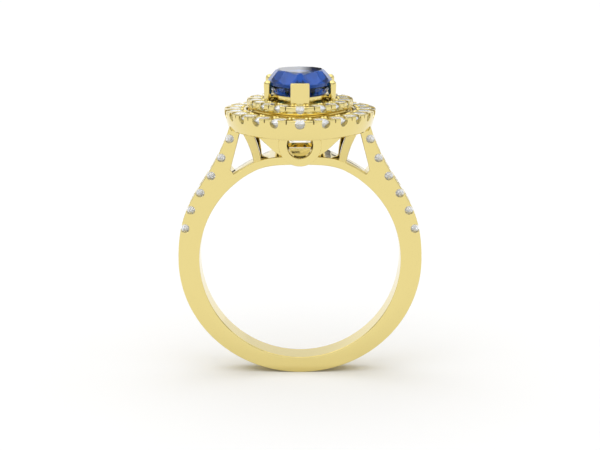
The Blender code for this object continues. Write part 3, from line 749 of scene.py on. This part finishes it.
def make_collar(name, node, side, gold):
    """A tube along the finger with a web across its inner end, and a wing on each side."""
    lip, lip_steps = 0.09, 4
    profile = [(COLLAR_BORE, COLLAR_WEB - COLLAR_LENGTH), (COLLAR_BORE, -lip)]
    for i in range(1, lip_steps + 1):
        angle = pi / 2 * i / lip_steps
        profile.append((COLLAR_BORE + lip * (1 - cos(angle)), -lip * (1 - sin(angle))))
    for i in range(lip_steps + 1):
        angle = pi / 2 * i / lip_steps
        profile.append((COLLAR_RADIUS - lip * (1 - sin(angle)), -lip * (1 - cos(angle))))
    profile += [(COLLAR_RADIUS, -COLLAR_LENGTH), (0, -COLLAR_LENGTH),
                (0, COLLAR_WEB - COLLAR_LENGTH), (COLLAR_BORE, COLLAR_WEB - COLLAR_LENGTH)]
    mesh = turned(profile, name, 72)
    mesh.transform(standing(mm(0, side * COLLAR_FACE, COLLAR_CENTRE_Z), (0, side, 0)))
    collar = add_object(name, mesh)
    above = box_mesh(name + "_above", (-4, -8, COLLAR_CUT_Z), (4, 8, COLLAR_CUT_Z + 4))
    combined(collar, [(above, Matrix())])
    near = side * (COLLAR_FACE - COLLAR_LENGTH + COLLAR_WEB + 0.01)
    far = side * (COLLAR_FACE - COLLAR_LENGTH - 0.5)
    window = box_mesh(name + "_window", (-1.01, min(near, far), COLLAR_WEB_TOP),
                      (1.01, max(near, far), COLLAR_CUT_Z + 1))
    combined(collar, [(window, Matrix())])
    for hand in (-1, 1):
        plate = loft([[mm(hand * x, side * y, z) for x, z in WING_OUTLINE] for y in WING_DEPTHS],
                     capped=True)
        wing = add_object(name + "_wing", mesh_from(plate, name + "_wing"))
        bevelled(wing, SOFT_EDGE, 2, 30)
        combined(collar, [(wing.data, Matrix())], "UNION")
        bpy.data.objects.remove(wing)
    return finish_piece(collar, gold, "gold", node)


def finger_arch():
    """The bridge's outer curve as a bar, and its place: it shapes the feet that stand there."""
    bar = rod("finger_arch", FINGER_RADIUS + BRIDGE_THICKNESS - OVERLAP, 20, 160)
    return bar, standing(mm(0, -10, 0), (0, 1, 0))


def make_cone(gold):
    """The funnel: round at the foot and pear-shaped at the top, open inside."""
    def round_loop(radius, z):
        """A circle with as many points as a pear outline, starting from the same side."""
        points = []
        for i in range(2 * HALF_POINTS):
            share = i if i <= HALF_POINTS else i - 2 * HALF_POINTS
            angle = pi * share / HALF_POINTS
            points.append(mm(radius * sin(angle), CONE_CENTRE_Y - radius * cos(angle), z))
        return points

    outer_foot, inner_foot = (round_loop(radius, CONE_FOOT_Z) for radius in CONE_FOOT_RADII)
    loops = [inner_foot, outer_foot]
    loops += [pear_loop(offset, CONE_TOP_Z) for offset in CONE_TOP_OFFSETS]
    cone = add_object("funnel", mesh_from(loft(loops, capped=False), "funnel"))
    combined(cone, [finger_arch()])
    parts = []
    keep = box_mesh("keep", (-4, -8, COLLAR_CUT_Z), (4, 8, 16))
    for side in (-1, 1):
        bar, matrix = collar_room(side)
        bar.transform(matrix)
        notch = add_object("notch", bar)
        combined(notch, [(keep, Matrix())])
        parts.append((notch.data, Matrix()))
        bpy.data.objects.remove(notch)
        near, far = sorted((side * WING_DEPTHS[0], side * 8))
        wing_room = box_mesh("wing_room", (-5, near, 8), (5, far, WING_OUTLINE[-1][1]))
        parts.append((wing_room, Matrix()))
    combined(cone, parts)
    return finish_piece(cone, gold, "gold", "gallery_cone")


def make_strut(name, side, top, gold):
    """A slim bar from the bridge to the halo, that curves outwards and widens as it rises."""
    front_or_back = -1 if top[1] < 0 else 1
    outer = FINGER_RADIUS + BRIDGE_THICKNESS
    foot_z = sqrt(outer**2 - (STRUT_FOOT[0] - STRUT_WIDTH / 2) ** 2)
    foot = Vector((STRUT_FOOT[0], front_or_back * STRUT_FOOT[1], foot_z - 0.45))
    head = Vector((top[0], top[1], STRUT_TOP_Z))
    steps = 16
    loops = []
    for i in range(steps + 1):
        t = i / steps
        centre = foot.lerp(head, t)
        centre.x -= STRUT_BOW * 4 * t * (1 - t)
        width = (STRUT_WIDTH + STRUT_WIDENING * t) / 2
        depth = STRUT_DEPTH / 2
        corners = ((-width, -depth), (width, -depth), (width, depth), (-width, depth))
        loops.append([mm(side * (centre.x + dx), centre.y + dy, centre.z) for dx, dy in corners])
    strut = add_object(name, mesh_from(loft(loops, capped=True), name))
    bevelled(strut, STRUT_FILLET)
    combined(strut, [finger_arch()])
    return finish_piece(strut, gold, "gold")


def make_struts(gold):
    """The four supports under the outer halo, their feet shaped to the bridge."""
    for side, side_word in ((-1, "left"), (1, "right")):
        for top, word in zip(STRUT_TOPS, ("front", "back")):
            make_strut(f"strut_{word}_{side_word}", side, top, gold)


def eased_section(section, cut=0.055):
    """A halo's cross-section with each corner cut off, this far from it at most."""
    points = [Vector(point) for point in section]
    eased = []
    for i, point in enumerate(points):
        for other in (points[i - 1], points[(i + 1) % len(points)]):
            gap = other - point
            eased.append(point + gap.normalized() * min(cut, gap.length * 0.4))
    return [(point.x, point.y) for point in eased]


def make_halo(name, node, section, row, count, top, stone, scallop, extra, gold):
    """A pear-shaped ring, scalloped beside each stone and split between them."""
    loops = [pear_loop(offset, z) for offset, z in eased_section(section)]
    halo = add_object(name, mesh_from(loft(loops, capped=False), name))
    pocket = seat_mesh(stone, name + "_seat")
    radius, depth = scallop
    bar = rod(name + "_bar", radius, 1.7, 28)
    half = SPLIT_WIDTH / 2
    slot = box_mesh(name + "_split", (0.0, -half, -0.30), (2.0, half, 0.5))
    parts = []
    for x, y, angle in row_stations(row, count):
        outward = outward_at(angle)
        parts.append((pocket, Matrix.Translation(mm(x, y, top - GIRDLE_SINK))))
        start = mm(x, y, top - depth) + outward * mm(0.2)
        parts.append((bar, standing(start, outward)))
    for x, y, angle in row_stations(row, count, 0.5):
        matrix = Matrix.Translation(mm(x, y, top)) @ Matrix.Rotation(angle - pi / 2, 4, "Z")
        parts.append((slot, matrix))
    parts += extra
    combined(halo, parts)
    return finish_piece(halo, gold, "gold", node)


def halo_beads(name, row, count, top, reach, gold):
    """Pairs of grains midway between a row's stones, this far inside its centre line."""
    places = []
    for x, y, angle in row_stations(row, count, 0.5):
        outward = outward_at(angle)
        along = Vector((cos(angle), sin(angle), 0))
        for shift in (-0.15, 0.15):
            point = mm(x, y, top - 0.03) - outward * mm(reach) + along * mm(shift)
            places.append(Matrix.Translation(point))
    return beads(name, places, gold)


def prong_places():
    """(x, y, top height) of the right-hand round prongs, outside the girdle."""
    points = pear_points(PRONG_OFFSET, 400)[:401]
    return [(*min(points, key=lambda point: abs(point[1] - y)), top) for y, top in PRONGS]


def prong_mesh(name, top, grow=0.0):
    """A tapered post with a domed top; grow widens it, for the notch that it stands in."""
    radius = PRONG_RADIUS + grow
    length = top - PRONG_FOOT_Z
    angles = [pi / 2 * i / 8 for i in range(9)]
    profile = [(radius * sin(angle), length - radius * (1 - cos(angle))) for angle in angles]
    profile += [(PRONG_FOOT_RADIUS + grow, 0.0), (0, 0.0)]
    return turned(profile, name, 32)


def make_basket(gold):
    """The seat rail, its four round prongs and the short arms that join them."""
    loops = [pear_loop(offset, z) for offset, z in RAIL_SECTION]
    basket = add_object("basket", mesh_from(loft(loops, capped=False), "basket"))
    bevelled(basket, SOFT_EDGE)
    arm = rod("prong_arm", ARM_RADIUS, ARM_LENGTH, 20)
    parts = []
    for x, y, top in prong_places():
        post = prong_mesh("prong_post", top)
        inward = Vector((-x, PEAR_CENTRE_Y - 0.4 - y, 0)).normalized()
        for side in (-1, 1):
            parts.append((post, Matrix.Translation(mm(side * x, y, PRONG_FOOT_Z))))
            direction = (side * inward.x, inward.y, 0)
            parts.append((arm, standing(mm(side * x, y, ARM_Z), direction)))
    combined(basket, parts, "UNION")
    return finish_piece(basket, gold, "gold", "centre_basket")


def make_point_prong(gold):
    """The flat-faced prong at the pear's point, hollowed behind to take the stone."""
    low = (-POINT_PRONG_WIDTH / 2, POINT_PRONG_Y[0], POINT_PRONG_Z[0])
    high = (POINT_PRONG_WIDTH / 2, POINT_PRONG_Y[1], POINT_PRONG_Z[1])
    prong = add_object("point_claw", box_mesh("point_claw", low, high))
    bevelled(prong, FILLET)
    rooms = (("girdle_room", GIRDLE_SPREAD + 0.01, (14.1, 14.7)),
             ("rail_room", -0.07, (12.5, 14.2)))
    for name, offset, heights in rooms:
        room = loft([pear_loop(offset, z, COARSE_POINTS) for z in heights], capped=True)
        combined(prong, [(mesh_from(room, name), Matrix())])
    return finish_piece(prong, gold, "gold", "point_prong")


def prong_rooms():
    """Notches in the upper halo for the prongs that stand in it, as (mesh, matrix) pairs."""
    gap = 0.005
    rooms = []
    for x, y, top in prong_places():
        post_room = prong_mesh("post_room", top, gap)
        for side in (-1, 1):
            rooms.append((post_room, Matrix.Translation(mm(side * x, y, PRONG_FOOT_Z))))
    half = POINT_PRONG_WIDTH / 2 + gap
    low = (-half, POINT_PRONG_Y[0] - gap, POINT_PRONG_Z[0] - gap)
    rooms.append((box_mesh("claw_room", low, (half, -1, 15)), Matrix()))
    return rooms


# --- stage -------------------------------------------------------------------------

# Sockets of a colour Mix node, whose names repeat.
MIX_A, MIX_B, MIX_RESULT = 6, 7, 2


def make_world():
    """A studio: white at the horizon, a darker belt above it, a bright ceiling and a dark card."""
    world = bpy.data.worlds.new("studio")
    bpy.context.scene.world = world
    world.use_nodes = True
    tree = world.node_tree
    back = tree.nodes["Background"]
    back.inputs["Strength"].default_value = WORLD_STRENGTH
    place = tree.nodes.new("ShaderNodeTexCoord")
    split = tree.nodes.new("ShaderNodeSeparateXYZ")
    tree.links.new(place.outputs["Generated"], split.inputs["Vector"])

    def ramp(axis, low, stops):
        """Grey levels along an axis of the view direction, from low to 1."""
        spread = tree.nodes.new("ShaderNodeMapRange")
        spread.inputs["From Min"].default_value = low
        spread.inputs["From Max"].default_value = 1.0
        tree.links.new(split.outputs[axis], spread.inputs["Value"])
        node = tree.nodes.new("ShaderNodeValToRGB")
        elements = node.color_ramp.elements
        elements[0].position, elements[1].position = stops[0][0], stops[-1][0]
        for position, _ in stops[1:-1]:
            elements.new(position)
        for element, (_, level) in zip(elements, stops):
            element.color = (level, level, level, 1)
        tree.links.new(spread.outputs["Result"], node.inputs["Fac"])
        return node.outputs["Color"]

    product = tree.nodes.new("ShaderNodeMix")
    product.data_type = "RGBA"
    product.blend_type = "MULTIPLY"
    product.inputs["Factor"].default_value = 1.0
    tree.links.new(ramp("Z", 0.0, CEILING_LEVELS), product.inputs[MIX_A])
    tree.links.new(ramp("X", -1.0, ACROSS_LEVELS), product.inputs[MIX_B])
    card = tree.nodes.new("ShaderNodeMath")
    card.operation = "MULTIPLY"
    tree.links.new(ramp("Z", 0.0, CARD_HEIGHT), card.inputs[0])
    tree.links.new(ramp("X", -1.0, CARD_ACROSS), card.inputs[1])
    shaded = tree.nodes.new("ShaderNodeMix")
    shaded.data_type = "RGBA"
    shaded.inputs[MIX_B].default_value = CARD_COLOUR
    tree.links.new(card.outputs["Value"], shaded.inputs["Factor"])
    tree.links.new(product.outputs[MIX_RESULT], shaded.inputs[MIX_A])
    tree.links.new(shaded.outputs[MIX_RESULT], back.inputs["Color"])


def make_floor():
    """A large pale floor at the band's lowest point."""
    bm = bmesh.new()
    bmesh.ops.create_grid(bm, x_segments=1, y_segments=1, size=3.0)
    floor = add_object("floor", mesh_from(bm, "floor"))
    floor.location = (0, 0, cad_low.z)
    material, _, _ = principled("pale_floor", Base_Color=(0.89, 0.89, 0.89, 1), Roughness=0.9,
                                Specular_IOR_Level=0.0)
    floor.data.materials.append(material)


def make_camera():
    """Looks along the finger and slightly down, from the pear's point side."""
    camera = bpy.data.cameras.new("camera")
    camera.sensor_width = 36.0
    camera.lens = CAMERA_LENS
    camera.clip_start = 0.005
    camera.clip_end = 20.0
    obj = bpy.data.objects.new("camera", camera)
    obj.location = mm(*CAMERA_PLACE)
    obj.rotation_euler = (radians(90 - CAMERA_DIP), 0, 0)
    bpy.context.scene.collection.objects.link(obj)
    bpy.context.scene.camera = obj


def main():
    """Builds the ring and its studio."""
    scene = bpy.context.scene
    scene.view_settings.view_transform = "Standard"
    scene.view_settings.look = "None"
    gold, diamond, sapphire = make_gold(), make_diamond(), make_sapphire()
    make_shank(gold)
    shoulder_beads(gold)
    make_bridge(gold)
    make_collar("front_collar", "collar_front", -1, gold)
    make_collar("back_collar", "collar_back", 1, gold)
    make_cone(gold)
    make_struts(gold)

    make_halo("lower_halo", "outer_halo", OUTER_SECTION, OUTER_ROW, OUTER_COUNT, OUTER_TOP,
              OUTER_STONE, OUTER_SCALLOP, [], gold)
    halo_beads("lower_halo_beads", OUTER_ROW, OUTER_COUNT, OUTER_TOP, 0.60, gold)
    make_halo("upper_halo", "inner_halo", INNER_SECTION, INNER_ROW, INNER_COUNT, INNER_TOP,
              INNER_STONE, INNER_SCALLOP, prong_rooms(), gold)
    halo_beads("upper_halo_beads", INNER_ROW, INNER_COUNT, INNER_TOP, 0.52, gold)
    make_basket(gold)
    make_point_prong(gold)

    place_diamonds(diamond)
    stone = add_object("pear_sapphire", pear_brilliant("pear_sapphire"))
    finish_piece(stone, sapphire, "sapphire", "sapphire")

    make_world()
    make_floor()
    make_camera()


main()
